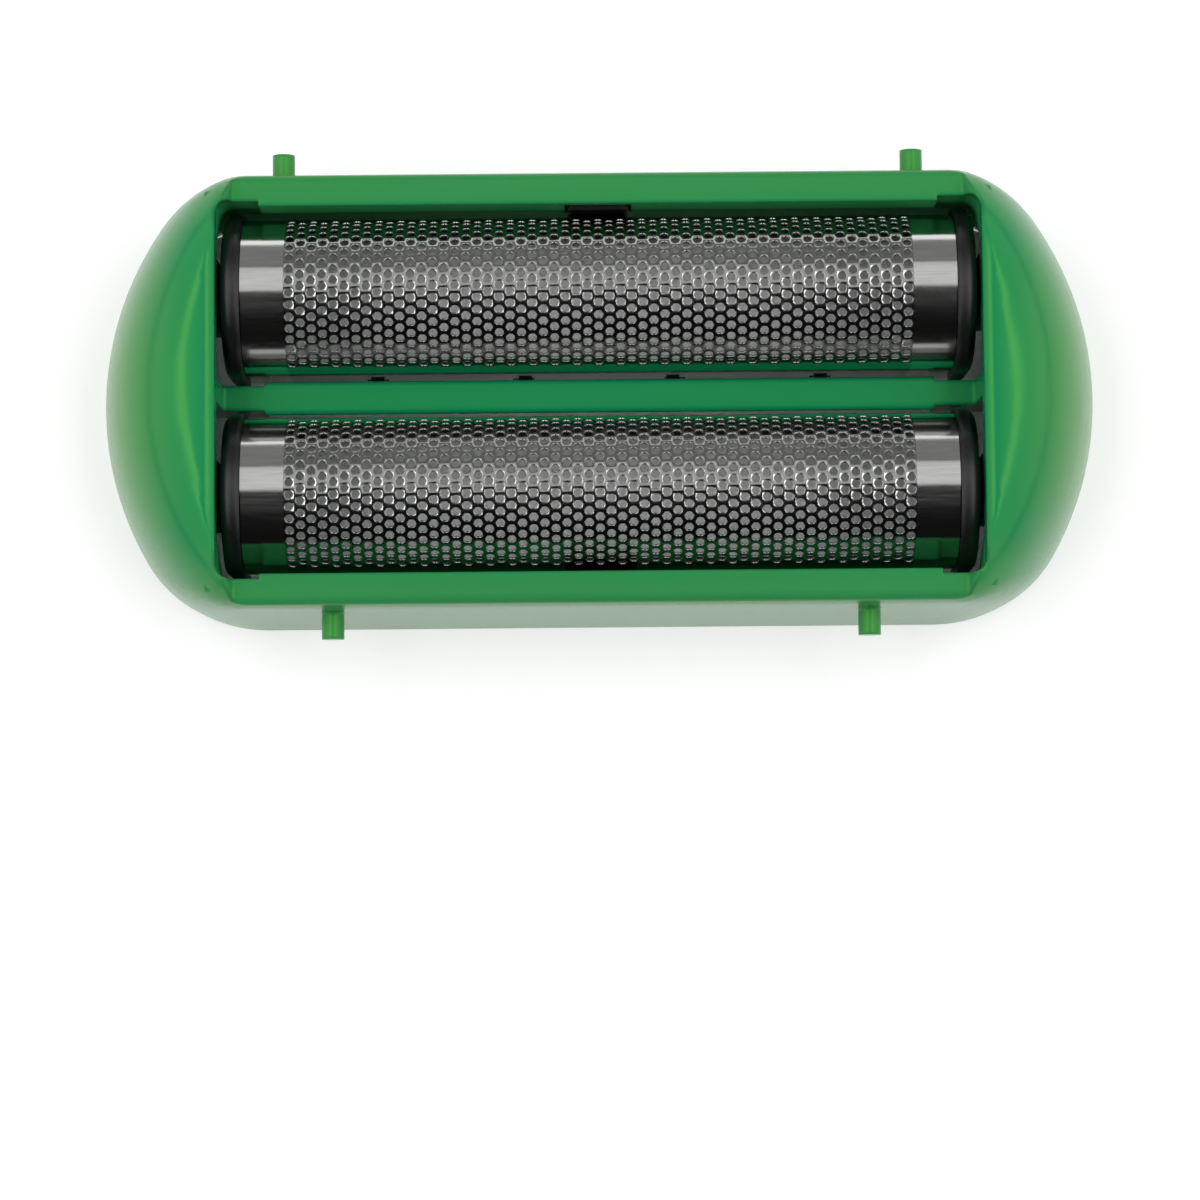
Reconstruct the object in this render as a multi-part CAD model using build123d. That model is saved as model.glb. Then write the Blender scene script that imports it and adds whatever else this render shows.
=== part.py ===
import os
from math import acos, cos, pi, radians, sin, sqrt, tan

from build123d import *

# Head frame: a green moulding that stands on its rim, long side along X, foils up.
HEAD_LENGTH = 61.2
HEAD_WIDTH = 27.1
END_BOW_RADIUS = 19.0
RIM_CORNER_RADIUS = 8.8
TOP_CORNER_RADIUS = 2.5
SIDE_DRAFT = 3.0
END_DRAFT = 3.0
WALL = 1.6
ROOF = 1.5
TOWER_HEIGHT = 13.0
SKIRT_HEIGHT = 2.0
DOME_RUN = 5.5
TOP_ROUND = 2.4
DOME_BANDS = 12
CROWN_FOOT = 6.5
CROWN_SLOPE = 27.0
BAR_DROP = 1.5
BAR_DEPTH = 2.5
SIDE_BAR_WIDTH = 2.55
BAR_EDGE_ROUND = 0.65
BAR_EDGE_BREAK = 0.02
WINDOW_CORNER_ROUND = 0.8
SADDLE_BROW_RADIUS = 2.0
SADDLE_BROW_BREAK = 0.03

# Foil cassettes: two arched foils, each on its own holder, side by side.
FOIL_THICKNESS = 0.12
FOIL_LENGTH = 42.6
FOIL_APEX_HEIGHT = 12.35
FOIL_HEM = 3.0
FOIL_SEAT_GAP = 0.02
FOIL_END_GAP = 0.05
FLOAT_TRAVEL = 1.2

# Perforation of each foil: hexagons in staggered columns.
HOLE_COLUMNS = 15
HOLE_ROWS = 3
HOLE_ACROSS = 2.3
PERFORATED_LENGTH = 36.8
PERFORATED_HALF_ANGLE = 54.0

# Holder: cheeks, rails, lugs, tongue and the hooks that hold the hems of the foil.
CHEEK_THICKNESS = 1.1
CHEEK_STAND = 0.3
CHEEK_CHAMFER = 0.4
SEAT_LENGTH = 1.7
SEAT_DEPTH = 1.0
RAIL_THICKNESS = 0.86
RAIL_HEIGHT = 1.8
RAIL_BELOW_HEM = 0.2
LUG_WIDTH = 1.2
LUG_REACH = 0.9
LUG_HEIGHT = 2.4
TONGUE_WIDTH = 3.6
TONGUE_THICKNESS = 0.6
TONGUE_FOOT = 0.5
TONGUE_HEIGHT = 5.7
HOOK_WIDTH = 0.8
HOOK_HEIGHT = 0.4
HOOK_HEAD_DROP = 0.3
HOOK_HEAD_THICKNESS = 0.2
HOOK_SLOT_GAP = 0.1
HOOK_SPACING = 9.0
HOOK_COUNT = 4
HOOK_RISE = 0.9

# Clearances between the frame and the cassettes that float in it.
SIDE_GAP = 0.25
END_GAP = 0.3
LUG_GAP = 0.25
LEDGE_GAP = 0.1
TONGUE_GAP = 0.2

# Middle bar on its web, guide blocks under the domed ends.
MIDDLE_BAR_WIDTH = 2.1
WEB_TOP_HEIGHT = 7.4
WEB_FOOT_HEIGHT = 4.0
WEB_FOOT_WIDTH = 1.0
WEB_EDGE_ROUND = 0.25
GUIDE_WALL = 1.0
GUIDE_DEPTH = 1.8
LEDGE_THICKNESS = 0.8

# Side pegs that key the head into the shaver: wider pair behind, narrower pair in front.
PEG_RADIUS = 0.68
PEG_HEIGHT = 8.0
PEG_REACH = 14.7
BACK_PEG_SPACING = 38.0
FRONT_PEG_SPACING = 32.2

# Sizes that follow from the ones above.
BAR_HEIGHT = TOWER_HEIGHT - BAR_DROP
WINDOW_HALF_WIDTH = HEAD_WIDTH / 2 - SIDE_BAR_WIDTH
WEB_TOP_HALF = MIDDLE_BAR_WIDTH / 2
FOIL_RADIUS = (WINDOW_HALF_WIDTH - WEB_TOP_HALF) / 2 - SIDE_GAP
FOIL_OFFSET = (WINDOW_HALF_WIDTH + WEB_TOP_HALF) / 2
FOIL_SPRING_HEIGHT = FOIL_APEX_HEIGHT - FOIL_RADIUS
FOIL_INNER_RADIUS = FOIL_RADIUS - FOIL_THICKNESS
CHEEK_RADIUS = FOIL_RADIUS + CHEEK_STAND
CHEEK_INNER_X = FOIL_LENGTH / 2 + FOIL_END_GAP
CHEEK_OUTER_X = CHEEK_INNER_X + CHEEK_THICKNESS
WINDOW_HALF_LENGTH = CHEEK_OUTER_X + END_GAP
NOTCH_HALF_WIDTH = FOIL_OFFSET + CHEEK_RADIUS + SIDE_GAP
NOTCH_START_X = CHEEK_INNER_X - CHEEK_THICKNESS
WEB_NOTCH_HALF = FOIL_OFFSET - CHEEK_RADIUS - SIDE_GAP
HEM_FOOT = FOIL_SPRING_HEIGHT - FOIL_HEM
HOLDER_FOOT = HEM_FOOT - RAIL_BELOW_HEM
LUG_FOOT = HOLDER_FOOT + LEDGE_THICKNESS + LEDGE_GAP
RAIL_OUTER = FOIL_INNER_RADIUS - FOIL_SEAT_GAP
TONGUE_TOP = HOLDER_FOOT - TONGUE_FOOT + TONGUE_HEIGHT
TONGUE_OUTER_Y = FOIL_OFFSET + FOIL_RADIUS + TONGUE_GAP + TONGUE_THICKNESS
NOTCH_FOOT = BAR_HEIGHT - BAR_DEPTH - CHEEK_STAND


def block(x0, x1, y0, y1, z0, z1):
    """Solid box between two corners."""
    centre = Location(((x0 + x1) / 2, (y0 + y1) / 2, (z0 + z1) / 2))
    return centre * Box(x1 - x0, y1 - y0, z1 - z0)


def inset_at(z, draft, start, run):
    """How far the outside stands in from the rim at a height: a draft, then a quarter ellipse."""
    rise = max(0.0, z - start) / (TOWER_HEIGHT - start)
    return z * tan(radians(draft)) + run * (1 - sqrt(max(0.0, 1 - rise ** 2)))


def end_inset(z):
    """Inset of the domed ends at a height."""
    return inset_at(z, END_DRAFT, SKIRT_HEIGHT, DOME_RUN)


def side_inset(z):
    """Inset of the long sides at a height."""
    return inset_at(z, SIDE_DRAFT, TOWER_HEIGHT - TOP_ROUND, TOP_ROUND)


def outline(z, wall):
    """Outline at a height, set in by a wall, seen from above: straight sides and bowed ends."""
    half_length = HEAD_LENGTH / 2 - end_inset(z) - wall
    half_width = HEAD_WIDTH / 2 - side_inset(z) - wall
    bow = END_BOW_RADIUS - wall
    corner = half_length - bow + sqrt(bow ** 2 - half_width ** 2)
    corner_radius = RIM_CORNER_RADIUS + (TOP_CORNER_RADIUS - RIM_CORNER_RADIUS) * z / TOWER_HEIGHT
    with BuildSketch() as sketch:
        with BuildLine():
            Line((-corner, -half_width), (corner, -half_width))
            ThreePointArc((corner, -half_width), (half_length, 0), (corner, half_width))
            Line((corner, half_width), (-corner, half_width))
            ThreePointArc((-corner, half_width), (-half_length, 0), (-corner, -half_width))
        make_face()
        fillet(sketch.vertices(), corner_radius - wall)
    return sketch.sketch


def domed_body():
    """Solid through outlines from the rim to the top, in bands that narrow where the dome turns over."""
    sections = [outline(0, 0)]
    for i in range(DOME_BANDS + 1):
        turn = pi / 2 * i / DOME_BANDS
        z = SKIRT_HEIGHT + (TOWER_HEIGHT - SKIRT_HEIGHT) * sin(turn)
        sections.append(Pos(0, 0, z) * outline(z, 0))
    return loft(sections, ruled=True)


def core_body(wall, roof):
    """Core of the mould, set in by a wall and a roof: steep sides and a sloped crown above them."""
    crown_height = TOWER_HEIGHT - roof - CROWN_FOOT
    skirt = extrude(outline(0, wall), amount=CROWN_FOOT, taper=SIDE_DRAFT)
    crown = extrude(outline(CROWN_FOOT, wall), amount=crown_height, taper=CROWN_SLOPE)
    return skirt + Pos(0, 0, CROWN_FOOT) * crown


def saddle_along():
    """Saddle seen from the front: open above the side bars, with a rounded brow at both ends."""
    rise = BAR_DROP + SADDLE_BROW_BREAK
    turn = acos(1 - rise / SADDLE_BROW_RADIUS)
    brow_x = WINDOW_HALF_LENGTH + SADDLE_BROW_RADIUS / 2
    brow_z = BAR_HEIGHT + rise
    foot_x = brow_x - SADDLE_BROW_RADIUS * sin(turn)
    middle_x = brow_x - SADDLE_BROW_RADIUS * sin(turn / 2)
    middle_z = brow_z - SADDLE_BROW_RADIUS * (1 - cos(turn / 2))
    below = BAR_HEIGHT - BAR_DEPTH
    above = TOWER_HEIGHT + TOP_ROUND
    with BuildSketch(Plane.XZ) as sketch:
        with BuildLine():
            Line((-foot_x, below), (foot_x, below))
            Line((foot_x, below), (foot_x, BAR_HEIGHT))
            ThreePointArc((foot_x, BAR_HEIGHT), (middle_x, middle_z), (brow_x, brow_z))
            Line((brow_x, brow_z), (brow_x, above))
            Line((brow_x, above), (-brow_x, above))
            Line((-brow_x, above), (-brow_x, brow_z))
            ThreePointArc((-brow_x, brow_z), (-middle_x, middle_z), (-foot_x, BAR_HEIGHT))
            Line((-foot_x, BAR_HEIGHT), (-foot_x, below))
        make_face()
    return extrude(sketch.sketch, amount=HEAD_WIDTH, both=True)


def saddle_across():
    """Saddle seen from the end: flat over the side bars and rounded over their outer edges."""
    centre_z = BAR_HEIGHT - BAR_EDGE_ROUND
    edge_y = HEAD_WIDTH / 2 - side_inset(centre_z) + BAR_EDGE_BREAK
    centre_y = edge_y - BAR_EDGE_ROUND
    middle_y = centre_y + BAR_EDGE_ROUND * sin(pi / 4)
    middle_z = centre_z + BAR_EDGE_ROUND * sin(pi / 4)
    above = TOWER_HEIGHT + TOP_ROUND
    beyond = HEAD_WIDTH
    with BuildSketch(Plane.YZ) as sketch:
        with BuildLine():
            Line((-centre_y, BAR_HEIGHT), (centre_y, BAR_HEIGHT))
            ThreePointArc((centre_y, BAR_HEIGHT), (middle_y, middle_z), (edge_y, centre_z))
            Line((edge_y, centre_z), (beyond, centre_z))
            Line((beyond, centre_z), (beyond, above))
            Line((beyond, above), (-beyond, above))
            Line((-beyond, above), (-beyond, centre_z))
            Line((-beyond, centre_z), (-edge_y, centre_z))
            ThreePointArc((-edge_y, centre_z), (-middle_y, middle_z), (-centre_y, BAR_HEIGHT))
        make_face()
    return extrude(sketch.sketch, amount=HEAD_LENGTH, both=True)


def outer_body():
    """Outside of the frame: domed ends with a saddle between them."""
    return domed_body() - (saddle_along() & saddle_across())


def cavity():
    """Hollow underside: high under the domed ends, lower under the side bars."""
    reach = WINDOW_HALF_LENGTH
    bar_foot = BAR_HEIGHT - BAR_DEPTH
    half_width = HEAD_WIDTH / 2 - side_inset(bar_foot) - WALL
    ends = core_body(WALL, ROOF) - block(-reach, reach, -HEAD_WIDTH, HEAD_WIDTH, CROWN_FOOT, TOWER_HEIGHT)
    return ends + block(-reach, reach, -half_width, half_width, 0, bar_foot)


def window_cut():
    """Opening for both cassettes, wider at its ends where the cheeks stand."""
    notch_length = WINDOW_HALF_LENGTH - NOTCH_START_X
    notch_middle = (WINDOW_HALF_LENGTH + NOTCH_START_X) / 2
    with BuildSketch(Plane.XY.offset(NOTCH_FOOT)) as sketch:
        Rectangle(2 * NOTCH_START_X, 2 * WINDOW_HALF_WIDTH)
        with Locations((notch_middle, 0), (-notch_middle, 0)):
            Rectangle(notch_length, 2 * NOTCH_HALF_WIDTH)
        corners = sketch.vertices().group_by(Axis.X)
        fillet(corners[0] + corners[-1], WINDOW_CORNER_ROUND)
    return extrude(sketch.sketch, amount=TOWER_HEIGHT)


def middle_web():
    """Middle bar on a tapered web, narrow between the cheeks, a keel under the domed ends."""
    foot_half = WEB_FOOT_WIDTH / 2
    with BuildSketch(Plane.YZ) as sketch:
        with BuildLine():
            Polyline(
                (-foot_half, WEB_FOOT_HEIGHT),
                (foot_half, WEB_FOOT_HEIGHT),
                (WEB_TOP_HALF, WEB_TOP_HEIGHT),
                (-WEB_TOP_HALF, WEB_TOP_HEIGHT),
                close=True,
            )
        make_face()
        fillet(sketch.vertices().group_by(Axis.Z)[-1], WEB_EDGE_ROUND)
    web = extrude(sketch.sketch, amount=NOTCH_START_X, both=True)
    half = HEAD_LENGTH / 2
    neck = block(NOTCH_START_X, half, -WEB_NOTCH_HALF, WEB_NOTCH_HALF, WEB_FOOT_HEIGHT, WEB_TOP_HEIGHT)
    keel = block(WINDOW_HALF_LENGTH, half, -WEB_NOTCH_HALF, WEB_NOTCH_HALF, WEB_FOOT_HEIGHT, TOWER_HEIGHT)
    for end in (neck, keel):
        web += end
        web += half_round(end)
    return web & core_body(WALL / 2, ROOF / 2)


def guide_block(y):
    """Block under the right-hand dome with a pocket that lets an end lug rise and fall."""
    pocket_half = LUG_WIDTH / 2 + LUG_GAP
    block_half = pocket_half + GUIDE_WALL
    face = WINDOW_HALF_LENGTH
    solid = block(face, face + GUIDE_DEPTH, y - block_half, y + block_half,
                  HOLDER_FOOT, TOWER_HEIGHT - ROOF / 2)
    ledge = LUG_FOOT - LEDGE_GAP
    lid = LUG_FOOT + LUG_HEIGHT + FLOAT_TRAVEL + LEDGE_GAP
    back = CHEEK_OUTER_X + LUG_REACH + LUG_GAP
    solid &= core_body(WALL / 2, ROOF / 2)
    return solid - block(CHEEK_OUTER_X, back, y - pocket_half, y + pocket_half, ledge, lid)


def tongue_groove():
    """Groove in the back wall for the tongue of the back cassette."""
    half = TONGUE_WIDTH / 2 + TONGUE_GAP
    top = TONGUE_TOP + FLOAT_TRAVEL + LEDGE_GAP
    return block(-half, half, FOIL_OFFSET, TONGUE_OUTER_Y + TONGUE_GAP, 0, top)


def peg(x):
    """Round peg on the back wall."""
    root = HEAD_WIDTH / 2 - WALL
    pin = Cylinder(PEG_RADIUS, PEG_REACH - root)
    middle = (PEG_REACH + root) / 2
    return Location((x, middle, PEG_HEIGHT)) * Rotation(-90, 0, 0) * pin


def half_round(shape):
    """Copy turned half round about the upright axis."""
    return Rotation(0, 0, 180) * shape


def head_frame():
    """Green frame, one moulding."""
    frame = outer_body() - cavity() - window_cut()
    frame += middle_web()
    guides = [guide_block(FOIL_OFFSET), guide_block(-FOIL_OFFSET)]
    for guide in guides:
        frame += guide
        frame += half_round(guide)
    frame -= tongue_groove()
    frame -= half_round(tongue_groove())
    for side in (-1, 1):
        frame += peg(side * BACK_PEG_SPACING / 2)
        frame += half_round(peg(side * FRONT_PEG_SPACING / 2))
    return frame


def arch_section(radius, foot):
    """Arch with straight legs, seen along X, about the middle of a cassette."""
    spring = FOIL_SPRING_HEIGHT
    with BuildSketch(Plane.YZ) as sketch:
        with BuildLine():
            Line((-radius, foot), (radius, foot))
            Line((radius, foot), (radius, spring))
            ThreePointArc((radius, spring), (0, spring + radius), (-radius, spring))
            Line((-radius, spring), (-radius, foot))
        make_face()
    return sketch.sketch


def hook_places():
    """Positions of the hooks along a rail."""
    start = -HOOK_SPACING * (HOOK_COUNT - 1) / 2
    return [start + HOOK_SPACING * i for i in range(HOOK_COUNT)]


def hook_bar(x, spread, y0, y1, drop=0):
    """Block along Y at the height of the hooks, larger than the stem by the spread all round."""
    half = HOOK_WIDTH / 2 + spread
    foot = HOLDER_FOOT + HOOK_RISE
    return block(x - half, x + half, y0, y1, foot - spread - drop, foot + HOOK_HEIGHT + spread)


def hook(x):
    """Hook on the outside of a rail: a stem through the foil and a head that hangs over its hem."""
    root = RAIL_OUTER - RAIL_THICKNESS / 2
    head_seat = FOIL_RADIUS + FOIL_SEAT_GAP
    tip = head_seat + HOOK_HEAD_THICKNESS
    return hook_bar(x, 0, root, tip) + hook_bar(x, 0, head_seat, tip, HOOK_HEAD_DROP)


def cheek():
    """Right-hand end cheek with the seat that carries the foil's end."""
    plate = extrude(arch_section(CHEEK_RADIUS, HOLDER_FOOT), amount=CHEEK_THICKNESS)
    outer_edges = []
    for edge in plate.faces().sort_by(Axis.X)[-1].edges():
        if edge.center().Z > HOLDER_FOOT:
            outer_edges.append(edge)
    plate = chamfer(outer_edges, CHEEK_CHAMFER)
    ring = arch_section(RAIL_OUTER, HOLDER_FOOT) - arch_section(RAIL_OUTER - SEAT_DEPTH, HOLDER_FOOT)
    seat = extrude(ring, amount=SEAT_LENGTH)
    lug = block(0, CHEEK_THICKNESS + LUG_REACH, -LUG_WIDTH / 2, LUG_WIDTH / 2, LUG_FOOT, LUG_FOOT + LUG_HEIGHT)
    return Pos(CHEEK_INNER_X, 0, 0) * (plate + Pos(-SEAT_LENGTH, 0, 0) * seat + lug)


def holder():
    """Black holder of one cassette, about its own middle."""
    right = cheek()
    solid = right + half_round(right)
    for side in (-1, 1):
        inner = side * (RAIL_OUTER - RAIL_THICKNESS)
        outer = side * RAIL_OUTER
        solid += block(-CHEEK_INNER_X, CHEEK_INNER_X, min(inner, outer), max(inner, outer),
                       HOLDER_FOOT, HOLDER_FOOT + RAIL_HEIGHT)
    foot = HOLDER_FOOT - TONGUE_FOOT
    tongue_outer = TONGUE_OUTER_Y - FOIL_OFFSET
    half = TONGUE_WIDTH / 2
    solid += block(-half, half, RAIL_OUTER - RAIL_THICKNESS, tongue_outer, foot, HOLDER_FOOT)
    solid += block(-half, half, tongue_outer - TONGUE_THICKNESS, tongue_outer, foot, TONGUE_TOP)
    for x in hook_places():
        solid += hook(x)
        solid += half_round(hook(x))
    return solid


def hole_tool(x, angle):
    """Hexagonal punch along one radius of the arch, points along X."""
    out = (0, sin(angle), cos(angle))
    base = Plane(origin=(x, 0, FOIL_SPRING_HEIGHT), x_dir=(1, 0, 0), z_dir=out)
    hexagon = base.offset(FOIL_RADIUS / 2) * RegularPolygon(HOLE_ACROSS / sqrt(3), 6)
    return extrude(hexagon, amount=FOIL_RADIUS)


def foil():
    """Perforated foil of one cassette, about the cassette's middle."""
    section = arch_section(FOIL_RADIUS, HEM_FOOT) - arch_section(FOIL_INNER_RADIUS, HEM_FOOT)
    sheet = extrude(section, amount=FOIL_LENGTH / 2, both=True)
    row_angle = radians(2 * PERFORATED_HALF_ANGLE) / HOLE_ROWS
    column_pitch = PERFORATED_LENGTH / HOLE_COLUMNS
    punches = []
    for column in range(HOLE_COLUMNS):
        x = (column - (HOLE_COLUMNS - 1) / 2) * column_pitch
        rows = HOLE_ROWS - column % 2
        for row in range(rows):
            punches.append(hole_tool(x, (row - (rows - 1) / 2) * row_angle))
    for x in hook_places():
        punches.append(hook_bar(x, HOOK_SLOT_GAP, -CHEEK_RADIUS, CHEEK_RADIUS))
    return sheet - punches


os.makedirs("parts", exist_ok=True)
export_step(head_frame(), "parts/head_frame.step")
back_holder = Pos(0, FOIL_OFFSET, 0) * holder()
export_step(back_holder, "parts/back_holder.step")
export_step(half_round(back_holder), "parts/front_holder.step")
back_foil = Pos(0, FOIL_OFFSET, 0) * foil()
export_step(back_foil, "parts/back_foil.step")
export_step(half_round(back_foil), "parts/front_foil.step")
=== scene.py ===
# %% [markdown]
# # A shaver foil head, dressed for a studio picture
# The head is a glossy green moulding that carries two arched steel foils on black holders.
# The CAD part already has every solid in its place. This lesson adds what CAD leaves plain:
# the fine honeycomb of the foils, the finish of each material, the light and the camera.

from math import pi, radians, sqrt

import bpy
import numpy as np
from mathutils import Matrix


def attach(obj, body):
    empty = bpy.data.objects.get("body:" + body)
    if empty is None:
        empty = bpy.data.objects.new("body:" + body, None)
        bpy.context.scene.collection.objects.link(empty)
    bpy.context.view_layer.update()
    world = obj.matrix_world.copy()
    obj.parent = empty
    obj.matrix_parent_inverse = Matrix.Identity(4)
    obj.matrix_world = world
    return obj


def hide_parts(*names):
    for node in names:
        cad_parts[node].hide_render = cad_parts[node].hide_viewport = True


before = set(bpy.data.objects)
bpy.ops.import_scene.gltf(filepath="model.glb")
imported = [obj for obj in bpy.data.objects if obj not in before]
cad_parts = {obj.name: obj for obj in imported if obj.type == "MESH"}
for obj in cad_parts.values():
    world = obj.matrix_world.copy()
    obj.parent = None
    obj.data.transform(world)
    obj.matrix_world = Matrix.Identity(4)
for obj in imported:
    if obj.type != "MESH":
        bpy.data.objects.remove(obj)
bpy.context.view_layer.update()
MM = 0.001
print("nodes:", sorted(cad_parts))

# %% [markdown]
# ## The sheet that a foil is bent from
# A foil is a flat strip of thin metal, etched full of hexagons and then bent over an arch, with two
# straight hems below. Modelling it bent would mean punching hundreds of curved holes. It is easier to
# draw the strip flat, in two parameters: u runs along the foil and s runs round the arch.
# A last step bends every point at once.

# %% Sizes of the foil, in millimetres
def node_box(name):
    """Lowest and highest corner of a CAD node, in millimetres."""
    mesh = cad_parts[name].data
    points = np.empty(3 * len(mesh.vertices), np.float32)
    mesh.vertices.foreach_get("co", points)
    points = points.reshape(-1, 3) / MM
    return points.min(axis=0), points.max(axis=0)


foil_low, foil_high = node_box("back_foil")
FOIL_HALF_LENGTH = (foil_high[0] - foil_low[0]) / 2
FOIL_RADIUS = (foil_high[1] - foil_low[1]) / 2
FOIL_MIDDLE = (foil_high[1] + foil_low[1]) / 2
FOIL_SPRING = foil_high[2] - FOIL_RADIUS
FOIL_FOOT = foil_low[2]
FOIL_SKIN = 0.12
HOLE_COLUMNS = 57
HOLE_ROWS = 16
COLUMN_PITCH = 0.657
ROW_PITCH = 0.728
BAR_WIDTH = 0.26
RIM_ROUND = 0.03
# Steps over a hole's rounded rim, inwards and downwards, as shares of RIM_ROUND.
RIM_STEPS = ((0.0, 0.0), (0.6, 0.3), (1.0, 1.0))
CORNER_SOFTENING = 0.92
FOIL_CREASE_DEG = 50
HOOK_PLACES = np.array([-13.5, -4.5, 4.5, 13.5])
HOOK_HALF_SLOT = 0.5
HOOK_SLOT_FOOT = FOIL_FOOT + 0.6
HOOK_SLOT_TOP = FOIL_FOOT + 1.2
print("foil: half length", FOIL_HALF_LENGTH, "radius", FOIL_RADIUS, "spring line", FOIL_SPRING)


def bend_strip(u, s, depth, middle):
    """Points of the flat strip (u, s), sunk by depth below its outer skin, bent over the arch.
    Up to a quarter turn each way, s is arc length: the angle is s over the radius, y is the sine and
    z the cosine of it times the radius less the depth. Past that the strip runs straight down."""
    quarter = FOIL_RADIUS * pi / 2
    angle = np.clip(s, -quarter, quarter) / FOIL_RADIUS
    beyond = np.maximum(np.abs(s) - quarter, 0)
    radius = FOIL_RADIUS - depth
    y = middle + radius * np.sin(angle)
    z = FOIL_SPRING + radius * np.cos(angle) - beyond
    return np.stack([u + 0 * y, y, z], axis=-1) * MM


# %% [markdown]
# ## A grid with room for the holes
# Each hexagon sits in the middle of a small brick of the sheet. Bricks of one column touch, and every
# second column is shifted by half a brick, as in a wall, which is what makes a honeycomb.
# All the bricks' corners lie on one grid of lines, so blank metal is simply the grid's own cells.

# %% Grid lines of the strip
FIELD_U = np.arange(2 * HOLE_COLUMNS + 1) * COLUMN_PITCH / 2
FIELD_U = FIELD_U - FIELD_U[-1] / 2
FIELD_S = np.arange(4 * HOLE_ROWS + 1) * ROW_PITCH / 4
FIELD_S = FIELD_S - FIELD_S[-1] / 2
QUARTER = FOIL_RADIUS * pi / 2
FLANK_S = np.linspace(FIELD_S[-1], QUARTER, 6)[1:]
HEM_S = QUARTER + FOIL_SPRING - np.array([HOOK_SLOT_TOP, HOOK_SLOT_FOOT, FOIL_FOOT])
SIDE_S = np.concatenate([FLANK_S, HEM_S])
END_U = np.linspace(FIELD_U[-1], FOIL_HALF_LENGTH, 4)[1:]
LINES_U = np.concatenate([-END_U[::-1], FIELD_U, END_U])
LINES_S = np.concatenate([-SIDE_S[::-1], FIELD_S, SIDE_S])
print("grid lines:", len(LINES_U), "along,", len(LINES_S), "round the arch")


def hole_centres():
    """Grid places of all hole centres: two grid steps a column, four a row, odd columns one row fewer."""
    first_u = len(END_U) + 1
    first_s = len(SIDE_S) + 2
    column, row = np.meshgrid(np.arange(HOLE_COLUMNS), np.arange(HOLE_ROWS), indexing="ij")
    shifted = column % 2
    kept = row < HOLE_ROWS - shifted
    return (first_u + 2 * column)[kept], (first_s + 4 * row + 2 * shifted)[kept]


# Twelve points round a brick, from its right-hand middle, in grid steps.
BRICK_U = np.array([1, 1, 1, 0, -1, -1, -1, -1, -1, 0, 1, 1])
BRICK_S = np.array([0, 1, 2, 2, 2, 1, 0, -1, -2, -2, -2, -1])


def hole_outline(shrink):
    """Twelve points of a hexagon with points left and right and softened corners, drawn in by shrink.
    The radius swings between the corner distance and the flat distance six times a turn."""
    turn = np.arange(12) * pi / 6
    flat = (ROW_PITCH - BAR_WIDTH) / 2 - shrink
    corner = flat * 2 / sqrt(3) * CORNER_SOFTENING
    radius = np.where(np.arange(12) % 2 == 0, corner, flat)
    stretch = COLUMN_PITCH * 2 / sqrt(3) / ROW_PITCH
    return radius * np.cos(turn) * stretch, radius * np.sin(turn)


# %% [markdown]
# ## Blank cells, bricks and walls
# The blank metal round the holes, the hems and the slots for the holder's hooks come from a mask over
# the grid's cells. Each brick then gets rings of quads: face, softened rim, wall and inner face.
# Where a kept cell borders on nothing, a narrow wall closes the sheet, so the foil is one closed skin.

# %% Foil mesh
def kept_cells(centre_u, centre_s):
    """Two masks over the grid's cells: blank metal, and the bricks that hold the holes."""
    bricks = np.zeros((len(LINES_U) - 1, len(LINES_S) - 1), bool)
    for du in (-1, 0):
        for ds in (-2, -1, 0, 1):
            bricks[centre_u + du, centre_s + ds] = True
    left, right = LINES_U[:-1, None], LINES_U[1:, None]
    in_hook = ((right > HOOK_PLACES - HOOK_HALF_SLOT) & (left < HOOK_PLACES + HOOK_HALF_SLOT)).any(axis=1)
    slot = np.zeros_like(bricks)
    slot[:, 1] = in_hook
    slot[:, -2] = in_hook
    return ~bricks & ~slot, bricks


def side_walls(filled, number_out, number_in):
    """Quads between the outer and inner skin along every border between a filled and an empty cell."""
    padded = np.pad(filled, 1)
    quads = []
    for axis in (0, 1):
        step = np.diff(padded.astype(int), axis=axis)
        step = step[:, 1:-1] if axis == 0 else step[1:-1, :]
        for sign in (1, -1):
            a, b = np.nonzero(step == sign)
            c, d = (a, b + 1) if axis == 0 else (a + 1, b)
            ring = [number_out[a, b], number_out[c, d], number_in[c, d], number_in[a, b]]
            forward = (sign == 1) == (axis == 0)
            quads.append(np.stack(ring if not forward else ring[::-1], axis=-1))
    return np.concatenate(quads)


def ring_quads(outer, inner):
    """Quads between two rings of twelve points, for all holes at once."""
    return np.stack([outer, np.roll(outer, -1, 1), np.roll(inner, -1, 1), inner], axis=-1).reshape(-1, 4)


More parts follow.
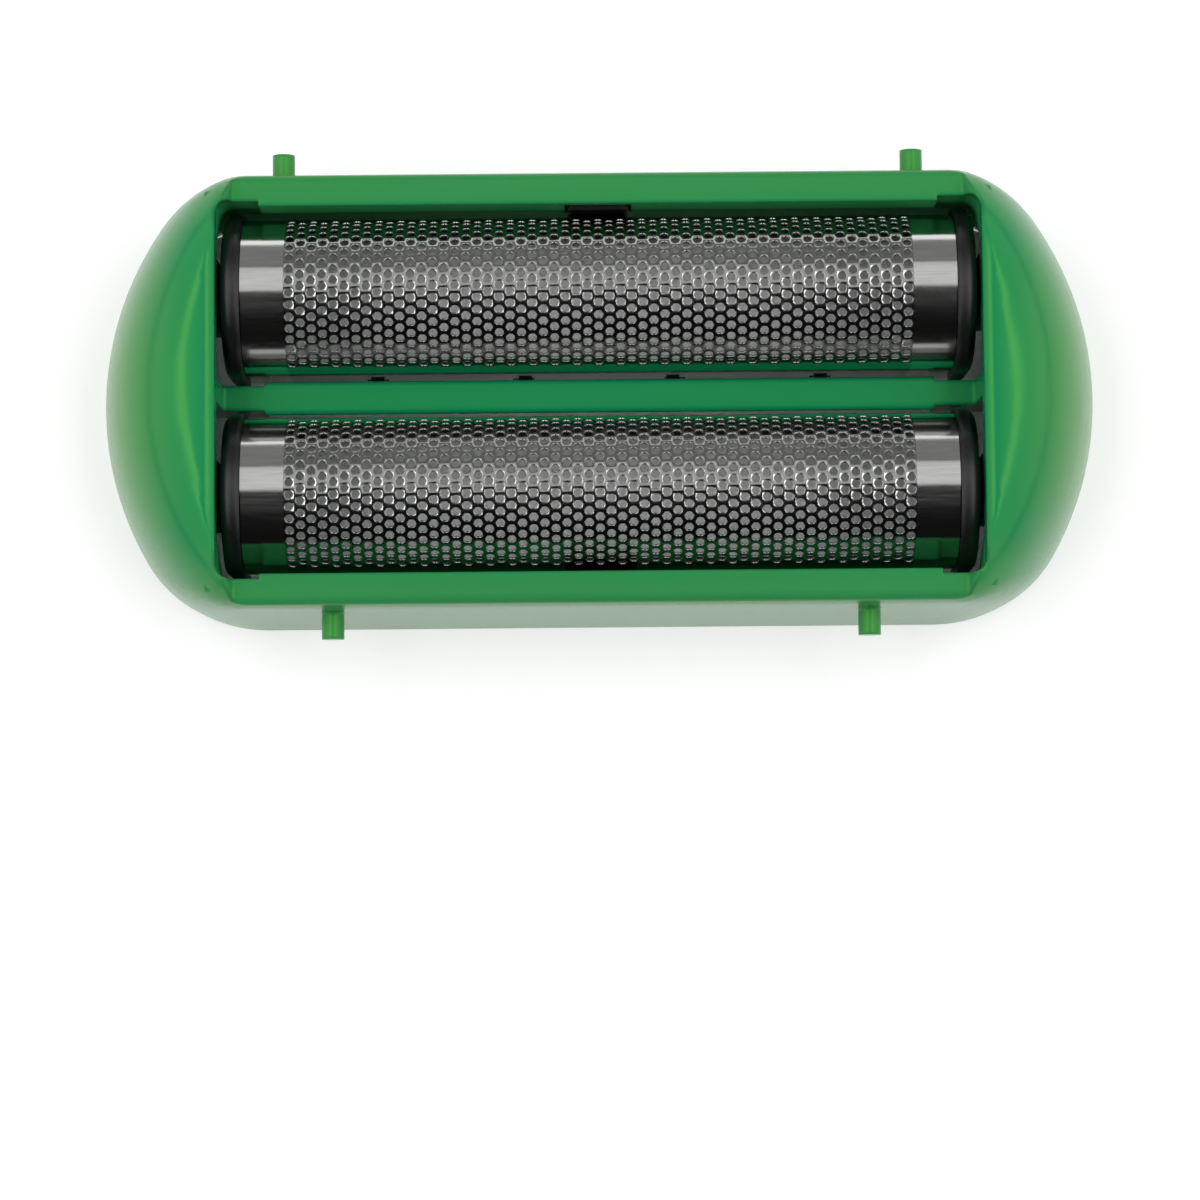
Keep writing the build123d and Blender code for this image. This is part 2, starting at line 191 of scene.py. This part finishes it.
def foil_surface(middle):
    """Vertices and quads of one perforated foil whose arch stands over y = middle."""
    grid_u, grid_s = np.meshgrid(LINES_U, LINES_S, indexing="ij")
    skin_out = bend_strip(grid_u, grid_s, 0.0, middle).reshape(-1, 3)
    skin_in = bend_strip(grid_u, grid_s, FOIL_SKIN, middle).reshape(-1, 3)
    number_out = np.arange(grid_u.size).reshape(grid_u.shape)
    number_in = number_out + grid_u.size
    centre_u, centre_s = hole_centres()
    blank, bricks = kept_cells(centre_u, centre_s)
    a, b = np.nonzero(blank)
    around = [(a, b), (a + 1, b), (a + 1, b + 1), (a, b + 1)]
    cell_out = np.stack([number_out[corner] for corner in around], -1)
    cell_in = np.stack([number_in[corner] for corner in around[:1] + around[:0:-1]], -1)
    walls = side_walls(blank | bricks, number_out, number_in)
    edge_out = number_out[centre_u[:, None] + BRICK_U, centre_s[:, None] + BRICK_S]
    edge_in = number_in[centre_u[:, None] + BRICK_U, centre_s[:, None] + BRICK_S]
    rings, numbers = [], []
    start = 2 * grid_u.size
    rim = [(RIM_ROUND * inwards, RIM_ROUND * down) for inwards, down in RIM_STEPS]
    for shrink, depth in rim + [(RIM_ROUND, FOIL_SKIN)]:
        du, ds = hole_outline(shrink - RIM_ROUND)
        u = LINES_U[centre_u][:, None] + du
        s = LINES_S[centre_s][:, None] + ds
        rings.append(bend_strip(u, s, depth, middle).reshape(-1, 3))
        numbers.append(start + np.arange(u.size).reshape(u.shape))
        start += u.size
    chain = [edge_out] + numbers + [edge_in]
    bands = [ring_quads(outer, inner) for outer, inner in zip(chain[:-1], chain[1:])]
    points = np.concatenate([skin_out, skin_in] + rings)
    quads = np.concatenate([cell_out, cell_in, walls] + bands)
    used, quads = np.unique(quads, return_inverse=True)
    return points[used], quads.reshape(-1, 4)


def mesh_object(name, points, faces, crease_deg):
    """Blender object from arrays of points and faces, smooth but for edges sharper than crease_deg."""
    mesh = bpy.data.meshes.new(name)
    mesh.vertices.add(len(points))
    mesh.vertices.foreach_set("co", points.astype(np.float32).ravel())
    mesh.loops.add(faces.size)
    mesh.loops.foreach_set("vertex_index", faces.astype(np.int32).ravel())
    mesh.polygons.add(len(faces))
    mesh.polygons.foreach_set("loop_start", np.arange(0, faces.size, faces.shape[1], dtype=np.int32))
    mesh.update(calc_edges=True)
    mesh.validate()
    mesh.polygons.foreach_set("use_smooth", np.ones(len(mesh.polygons), bool))
    mesh.set_sharp_from_angle(angle=radians(crease_deg))
    made = bpy.data.objects.new(name, mesh)
    bpy.context.scene.collection.objects.link(made)
    print(name, "has", len(mesh.vertices), "points and", len(mesh.polygons), "faces")
    return made


foils = {}
for side, middle in (("back", FOIL_MIDDLE), ("front", -FOIL_MIDDLE)):
    piece = mesh_object(side + "_foil_mesh", *foil_surface(middle), crease_deg=FOIL_CREASE_DEG)
    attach(piece, side + "_cassette")
    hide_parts(side + "_foil")
    foils[side] = piece

# %% [markdown]
# ## The frame's smooth skin
# The real frame comes out of a polished mould, so its domed ends turn over without a visible line. The CAD
# part builds them from narrow bands, each with its own normals, which would show as stripes in the gloss.
# A copy with its loose triangles joined shares its normals from band to band. The form stays the same.

# %% Smooth frame
FRAME_CREASE_DEG = 24
JOIN_GRID = 1e-6


def joined_triangles(node):
    """Points and triangles of a CAD node with equal points made one: coordinates are counted in steps of a
    micrometre, rows that repeat become one row, and each triangle takes the numbers of its rows."""
    mesh = node.data
    points = np.empty(3 * len(mesh.vertices), np.float32)
    mesh.vertices.foreach_get("co", points)
    mesh.calc_loop_triangles()
    corners = np.empty(3 * len(mesh.loop_triangles), np.int32)
    mesh.loop_triangles.foreach_get("vertices", corners)
    rows, number = np.unique(np.round(points.reshape(-1, 3) / JOIN_GRID), axis=0, return_inverse=True)
    triangles = number.reshape(-1)[corners].reshape(-1, 3)
    turned = np.roll(triangles, 1, axis=1)
    return rows * JOIN_GRID, triangles[(triangles != turned).all(axis=1)]


skin = joined_triangles(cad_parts["head_frame"])
frame_skin = mesh_object("frame_skin", *skin, crease_deg=FRAME_CREASE_DEG)
even_out = frame_skin.modifiers.new("large_faces_first", "WEIGHTED_NORMAL")
even_out.keep_sharp = True
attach(frame_skin, "head")
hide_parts("head_frame")

# %% [markdown]
# ## Materials
# Colours are written as sRGB hex values, the way a paint chart gives them, and one function turns them
# into the linear numbers that shaders need. One more function adds a node, its settings and its links.

# %% Colour and node helpers
def linear(hex_colour):
    """Linear RGBA of an sRGB hex colour: each channel to the power that undoes the screen's curve."""
    channels = [int(hex_colour[i:i + 2], 16) / 255 for i in (1, 3, 5)]
    flat = [c / 12.92 if c <= 0.04045 else ((c + 0.055) / 1.055) ** 2.4 for c in channels]
    return (*flat, 1.0)


def add_node(material, kind, settings=(), inputs=(), links=()):
    """One node: settings are its own fields, inputs its socket values, links (socket, other node, output)."""
    node = material.node_tree.nodes.new(kind)
    for field, value in dict(settings).items():
        setattr(node, field, value)
    for socket, value in dict(inputs).items():
        node.inputs[socket].default_value = value
    for socket, other, output in links:
        material.node_tree.links.new(other.outputs[output], node.inputs[socket])
    return node


def new_material(name):
    """Empty node material with its output and a principled shader."""
    material = bpy.data.materials.new(name)
    material.use_nodes = True
    shader = material.node_tree.nodes["Principled BSDF"]
    return material, shader


def join(material, shader, socket, node, output):
    """Link a node's output to the shader's socket."""
    material.node_tree.links.new(node.outputs[output], shader.inputs[socket])


# %% [markdown]
# ### Green ABS, moulded in a polished tool
# The frame is dyed through, with only the faint clouds that flowing plastic leaves. On its outer faces, at the
# ends and the long walls, a yellower green is painted in by place: a painted glow that stands in for light.
# The tool was polished outside: clear highlights, with a slight ripple that wobbles them. The core side is
# matt, as a tool is left where nobody looks. No moulded edge is quite sharp, so the shader softens them.

# %% Green ABS
GREEN_CLOUDS = ("#047b4b", "#088051")
# The yellower green and its two ranges below are painted glow: light laid into the colour of the outer faces.
PAINTED_GLOW_GREEN = "#4a8c44"
GREEN_GLEAM = "#a8ff40"
END_PAINTED_GLOW = (24.5 * MM, 30 * MM)
SIDE_PAINTED_GLOW = (9 * MM, 13.5 * MM)
SIDE_PAINTED_GLOW_SHARE = 0.5
POLISHED = (0.20, 0.26)
MATT = 0.75
CORE_HALF_LENGTH = 23.5 * MM
CORE_HALF_WIDTH = 12.0 * MM
CORE_TOP = 11.3 * MM
WEB_HALF_WIDTH = 1.3 * MM
# What lies inside all four limits belongs to the core side.
CORE_LIMITS = (("X", "LESS_THAN", CORE_HALF_LENGTH), ("Y", "LESS_THAN", CORE_HALF_WIDTH),
               ("Y", "GREATER_THAN", WEB_HALF_WIDTH), ("Z", "LESS_THAN", CORE_TOP))
GREEN_EDGE = 0.35 * MM


def moulded_green():
    """Dyed ABS: cloudy colour with a painted glow that yellows it outwards, rippled gloss outside and a matt
    core side.
    """
    material, shader = new_material("green_abs_moulded")
    place = add_node(material, "ShaderNodeTexCoord")
    cloud = add_node(material, "ShaderNodeTexNoise", inputs={"Scale": 1 / (9 * MM), "Detail": 3.0},
                     links=[("Vector", place, "Object")])
    tint = add_node(material, "ShaderNodeValToRGB", links=[("Fac", cloud, "Fac")])
    tint.color_ramp.elements[0].color = linear(GREEN_CLOUDS[0])
    tint.color_ramp.elements[1].color = linear(GREEN_CLOUDS[1])
    folded = add_node(material, "ShaderNodeVectorMath", {"operation": "ABSOLUTE"},
                      links=[(0, place, "Object")])
    part = add_node(material, "ShaderNodeSeparateXYZ", links=[("Vector", folded, "Vector")])
    # Painted glow: the colour turns yellower towards the ends and the long walls, light painted into it.
    end_painted_glow = add_node(material, "ShaderNodeMapRange",
                        inputs={"From Min": END_PAINTED_GLOW[0], "From Max": END_PAINTED_GLOW[1]},
                        links=[("Value", part, "X")])
    side_painted_glow = add_node(material, "ShaderNodeMapRange",
                         inputs={"From Min": SIDE_PAINTED_GLOW[0], "From Max": SIDE_PAINTED_GLOW[1], "To Max": SIDE_PAINTED_GLOW_SHARE},
                         links=[("Value", part, "Y")])
    glow = add_node(material, "ShaderNodeMath", {"operation": "MAXIMUM"},
                    links=[(0, end_painted_glow, "Result"), (1, side_painted_glow, "Result")])
    dye_and_painted_glow = add_node(material, "ShaderNodeMix", {"data_type": "RGBA"}, {"B": linear(PAINTED_GLOW_GREEN)},
                    [("Factor", glow, "Value"), ("A", tint, "Color")])
    join(material, shader, "Base Color", dye_and_painted_glow, "Result")
    grain = add_node(material, "ShaderNodeTexNoise", inputs={"Scale": 1 / (0.4 * MM), "Detail": 2.0},
                     links=[("Vector", place, "Object")])
    gloss = add_node(material, "ShaderNodeMapRange", inputs={"To Min": POLISHED[0], "To Max": POLISHED[1]},
                     links=[("Value", grain, "Fac")])
    inside = [add_node(material, "ShaderNodeMath", {"operation": test}, {1: limit}, [(0, part, axis)])
              for axis, test, limit in CORE_LIMITS]
    core = inside[0]
    for limit in inside[1:]:
        core = add_node(material, "ShaderNodeMath", {"operation": "MULTIPLY"},
                        links=[(0, core, "Value"), (1, limit, "Value")])
    finish = add_node(material, "ShaderNodeMix", inputs={"B": MATT},
                      links=[("Factor", core, "Value"), ("A", gloss, "Result")])
    join(material, shader, "Roughness", finish, "Result")
    ripple = add_node(material, "ShaderNodeTexNoise", inputs={"Scale": 1 / (2.5 * MM), "Detail": 1.0},
                      links=[("Vector", place, "Object")])
    soft_edge = add_node(material, "ShaderNodeBevel", {"samples": 6}, {"Radius": GREEN_EDGE})
    bump = add_node(material, "ShaderNodeBump", inputs={"Strength": 0.06, "Distance": 0.05 * MM},
                    links=[("Height", ripple, "Fac"), ("Normal", soft_edge, "Normal")])
    join(material, shader, "Normal", bump, "Normal")
    shader.inputs["IOR"].default_value = 1.53
    shader.inputs["Specular Tint"].default_value = linear(GREEN_GLEAM)
    return material


# %% [markdown]
# ### Black acetal holders
# Holders slide in the frame, so they are moulded in a slippery black plastic with a satin gloss.
# The eye sees a dark grey band where the light catches the cheeks, with fine tool marks in it. The edges
# are a little rounder than the frame's, again in the shader.

# %% Black acetal
BLACK_MARKS = ("#0c0c0d", "#171718")
BLACK_EDGE = 0.45 * MM


def moulded_black():
    """Black acetal: dark, satin, with fine tool marks a quarter of a millimetre apart."""
    material, shader = new_material("black_acetal_moulded")
    place = add_node(material, "ShaderNodeTexCoord")
    marks = add_node(material, "ShaderNodeTexNoise", inputs={"Scale": 1 / (0.25 * MM), "Detail": 4.0},
                     links=[("Vector", place, "Object")])
    tint = add_node(material, "ShaderNodeValToRGB", links=[("Fac", marks, "Fac")])
    tint.color_ramp.elements[0].color = linear(BLACK_MARKS[0])
    tint.color_ramp.elements[1].color = linear(BLACK_MARKS[1])
    join(material, shader, "Base Color", tint, "Color")
    gloss = add_node(material, "ShaderNodeMapRange", inputs={"To Min": 0.28, "To Max": 0.40},
                     links=[("Value", marks, "Fac")])
    join(material, shader, "Roughness", gloss, "Result")
    soft_edge = add_node(material, "ShaderNodeBevel", {"samples": 6}, {"Radius": BLACK_EDGE})
    bump = add_node(material, "ShaderNodeBump", inputs={"Strength": 0.08, "Distance": 0.02 * MM},
                    links=[("Height", marks, "Fac"), ("Normal", soft_edge, "Normal")])
    join(material, shader, "Normal", bump, "Normal")
    shader.inputs["IOR"].default_value = 1.48
    return material


# %% [markdown]
# ### Etched bright steel
# The foil is rolled bright and then etched. Rolling leaves fine lines along the strip, which draw the mirror
# image of the lamps out a little. The eye sees the bars between the holes darker than the plain ends, so the
# colour is multiplied by a grey as far as the holes reach.

# %% Bright foil
STEEL_LINES = ("#bfc0bd", "#d9d9d6")
HOLE_FIELD_GREY = "#cfcfcf"


def etched_steel():
    """Bright rolled steel: a metal with fine lines along X and a light satin of the etch."""
    material, shader = new_material("steel_foil_etched")
    place = add_node(material, "ShaderNodeTexCoord")
    drawn = add_node(material, "ShaderNodeMapping", inputs={"Scale": (0.06, 1.0, 1.0)},
                     links=[("Vector", place, "Object")])
    lines = add_node(material, "ShaderNodeTexNoise", inputs={"Scale": 1 / (0.12 * MM), "Detail": 3.0},
                     links=[("Vector", drawn, "Vector")])
    tint = add_node(material, "ShaderNodeValToRGB", links=[("Fac", lines, "Fac")])
    tint.color_ramp.elements[0].color = linear(STEEL_LINES[0])
    tint.color_ramp.elements[1].color = linear(STEEL_LINES[1])
    folded = add_node(material, "ShaderNodeVectorMath", {"operation": "ABSOLUTE"},
                      links=[(0, place, "Object")])
    part = add_node(material, "ShaderNodeSeparateXYZ", links=[("Vector", folded, "Vector")])
    # Where the holes reach along x, the colour is multiplied by a grey, so the bars come out darker than the
    # plain ends.
    field = add_node(material, "ShaderNodeMath", {"operation": "LESS_THAN"}, {1: FIELD_U[-1] * MM},
                     [(0, part, "X")])
    darker_over_holes = add_node(material, "ShaderNodeMix", {"data_type": "RGBA", "blend_type": "MULTIPLY"},
                      {"B": linear(HOLE_FIELD_GREY)}, [("Factor", field, "Value"), ("A", tint, "Color")])
    join(material, shader, "Base Color", darker_over_holes, "Result")
    satin = add_node(material, "ShaderNodeMapRange", inputs={"To Min": 0.10, "To Max": 0.18},
                     links=[("Value", lines, "Fac")])
    join(material, shader, "Roughness", satin, "Result")
    bump = add_node(material, "ShaderNodeBump", inputs={"Strength": 0.05, "Distance": 0.01 * MM},
                    links=[("Height", lines, "Fac")])
    join(material, shader, "Normal", bump, "Normal")
    shader.inputs["Metallic"].default_value = 1.0
    return material


# %% [markdown]
# ### Each piece gets its material
# A replaced CAD node wears the same material as the piece that stands in for it, so both look alike.

# %% Dress the pieces
def dress(piece, material):
    """Put one material on a piece, in place of whatever it came with."""
    piece.data.materials.clear()
    piece.data.materials.append(material)


green = moulded_green()
black = moulded_black()
steel = etched_steel()
dress(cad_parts["head_frame"], green)
dress(frame_skin, green)
for side in ("back", "front"):
    dress(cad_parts[side + "_holder"], black)
    dress(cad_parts[side + "_foil"], steel)
    dress(foils[side], steel)
print("materials:", [m.name for m in (green, black, steel)])

# %% [markdown]
# ## Floor
# The head lies on a plain sheet of paper. Pale grey paper with a little glow of its own shows as white to the
# camera and in reflections, and still keeps the soft shadow. Under the head the glow is off, so that the
# hollow stays dark, and the paper there is painted white, a painted pool of light that the holes of the foils
# show.

# %% White floor
FLOOR_REACH = 0.6
FLOOR_LIFT = 0.5
PAPER_FIBRE = ("#c6c6c6", "#cacaca")
WHITE = "#ffffff"
SHADE_HALF_LENGTH = 29.5 * MM
SHADE_HALF_WIDTH = 12.8 * MM


def white_floor():
    """Flat sheet that glows outside the head's outline. The outline is a rounded oblong: x and y as shares of
    its half length and half width, each squared, form a vector that is one long on the border."""
    corners = FLOOR_REACH * np.array([[-1, -1, 0], [1, -1, 0], [1, 1, 0], [-1, 1, 0]])
    sheet = mesh_object("floor", corners, np.array([[0, 1, 2, 3]]), crease_deg=30)
    material, shader = new_material("white_paper")
    place = add_node(material, "ShaderNodeTexCoord")
    fibre = add_node(material, "ShaderNodeTexNoise", inputs={"Scale": 1 / (1.5 * MM)},
                     links=[("Vector", place, "Object")])
    tint = add_node(material, "ShaderNodeValToRGB", links=[("Fac", fibre, "Fac")])
    tint.color_ramp.elements[0].color = linear(PAPER_FIBRE[0])
    tint.color_ramp.elements[1].color = linear(PAPER_FIBRE[1])
    shader.inputs["Roughness"].default_value = 0.9
    shader.inputs["Specular IOR Level"].default_value = 0.0
    shader.inputs["Emission Color"].default_value = linear(WHITE)
    ray = add_node(material, "ShaderNodeLightPath")
    seen = add_node(material, "ShaderNodeMath", {"operation": "MAXIMUM"},
                    links=[(0, ray, "Is Camera Ray"), (1, ray, "Is Glossy Ray")])
    seen = add_node(material, "ShaderNodeMath", {"operation": "MAXIMUM"},
                    links=[(0, seen, "Value"), (1, ray, "Is Transmission Ray")])
    shrunk = add_node(material, "ShaderNodeMapping",
                      inputs={"Scale": (1 / SHADE_HALF_LENGTH, 1 / SHADE_HALF_WIDTH, 1)},
                      links=[("Vector", place, "Object")])
    squared = add_node(material, "ShaderNodeVectorMath", {"operation": "MULTIPLY"},
                       links=[(0, shrunk, "Vector"), (1, shrunk, "Vector")])
    apart = add_node(material, "ShaderNodeVectorMath", {"operation": "LENGTH"},
                     links=[(0, squared, "Vector")])
    open_floor = add_node(material, "ShaderNodeMath", {"operation": "GREATER_THAN"}, {1: 1.0},
                          [(0, apart, "Value")])
    # Under the head the paper is painted white: a painted pool of light that shows through the holes of the
    # foils.
    paper_with_painted_light = add_node(material, "ShaderNodeMix", {"data_type": "RGBA"}, {"A": linear(WHITE)},
                     [("Factor", open_floor, "Value"), ("B", tint, "Color")])
    join(material, shader, "Base Color", paper_with_painted_light, "Result")
    lift = add_node(material, "ShaderNodeMath", {"operation": "MULTIPLY"}, {1: FLOOR_LIFT},
                    [(0, seen, "Value")])
    lift = add_node(material, "ShaderNodeMath", {"operation": "MULTIPLY"},
                    links=[(0, lift, "Value"), (1, open_floor, "Value")])
    join(material, shader, "Emission Strength", lift, "Value")
    dress(sheet, material)
    return sheet


floor = white_floor()

# %% [markdown]
# ## Light
# Bright metal shows little but its surroundings, so each lamp is placed for what it draws on the foils. The
# overhead box, a little behind the head, gives the bright band behind the crest, and the front stays dark.
# Two boxes at the back carry the light down the far flank. Boxes and narrow strips at both sides light the
# domed ends and lay the long highlights over them.

# %% Soft lamps
LAMP_DISTANCE = 0.6
ROOM_LIGHT = 0.006


def soft_lamp(name, size_x, size_y, radiance, back_deg=0, right_deg=0):
    """Rectangular lamp that looks at the head from a sphere round it, leaning to the back or to the right.
    Its power is its radiance times pi times its area."""
    lamp = bpy.data.lights.new(name, "AREA")
    lamp.shape = "RECTANGLE"
    lamp.size = size_x
    lamp.size_y = size_y
    lamp.energy = radiance * pi * size_x * size_y
    holder = bpy.data.objects.new(name, lamp)
    back, right = radians(back_deg), radians(right_deg)
    up = np.cos(back) * np.cos(right)
    holder.location = LAMP_DISTANCE * np.array([np.sin(right), np.sin(back), up])
    holder.rotation_euler = (-back, right, 0)
    bpy.context.scene.collection.objects.link(holder)
    return holder


SIDES = (("right", 1), ("left", -1))
soft_lamp("overhead_softbox", size_x=0.50, size_y=0.38, radiance=0.75, back_deg=20.3)
soft_lamp("back_softbox", size_x=0.60, size_y=0.38, radiance=0.24, back_deg=57.5)
soft_lamp("low_back_softbox", size_x=1.0, size_y=0.126, radiance=1.3, back_deg=82)
for side, sign in SIDES:
    soft_lamp(side + "_softbox", size_x=0.62, size_y=1.0, radiance=1.45, right_deg=57 * sign)
for side, sign in SIDES:
    soft_lamp(side + "_top_strip", size_x=0.14, size_y=0.50, radiance=4.2, right_deg=23 * sign)
world = bpy.data.worlds.new("dim_room")
world.use_nodes = True
world.node_tree.nodes["Background"].inputs["Color"].default_value = linear(WHITE)
world.node_tree.nodes["Background"].inputs["Strength"].default_value = ROOM_LIGHT
bpy.context.scene.world = world
print("lamps:", len(bpy.data.lights))

# %% [markdown]
# ## Camera
# The picture was taken from nearly straight above, a little to the front, so the front wall shows and the
# back wall doesn't. The lens is given by its focal length in pixels of the square picture, which is what a
# camera fitted to known points of the head yields. Tilt and roll are in radians.

# %% Camera
IMAGE_PIXELS = 1200
FOCAL_PIXELS = 3696
SENSOR_WIDTH = 36.0
CAMERA_PLACE = (-0.22 * MM, -29.98 * MM, 229.3 * MM)
CAMERA_TILT = 0.079
CAMERA_ROLL = -0.0087
camera_data = bpy.data.cameras.new("camera")
camera_data.sensor_width = SENSOR_WIDTH
camera_data.lens = FOCAL_PIXELS / IMAGE_PIXELS * SENSOR_WIDTH
camera_data.clip_start = 0.01
camera = bpy.data.objects.new("camera", camera_data)
camera.location = CAMERA_PLACE
camera.rotation_euler = (CAMERA_TILT, 0, CAMERA_ROLL)
bpy.context.scene.collection.objects.link(camera)
bpy.context.scene.camera = camera
bpy.context.scene.view_settings.view_transform = "Standard"
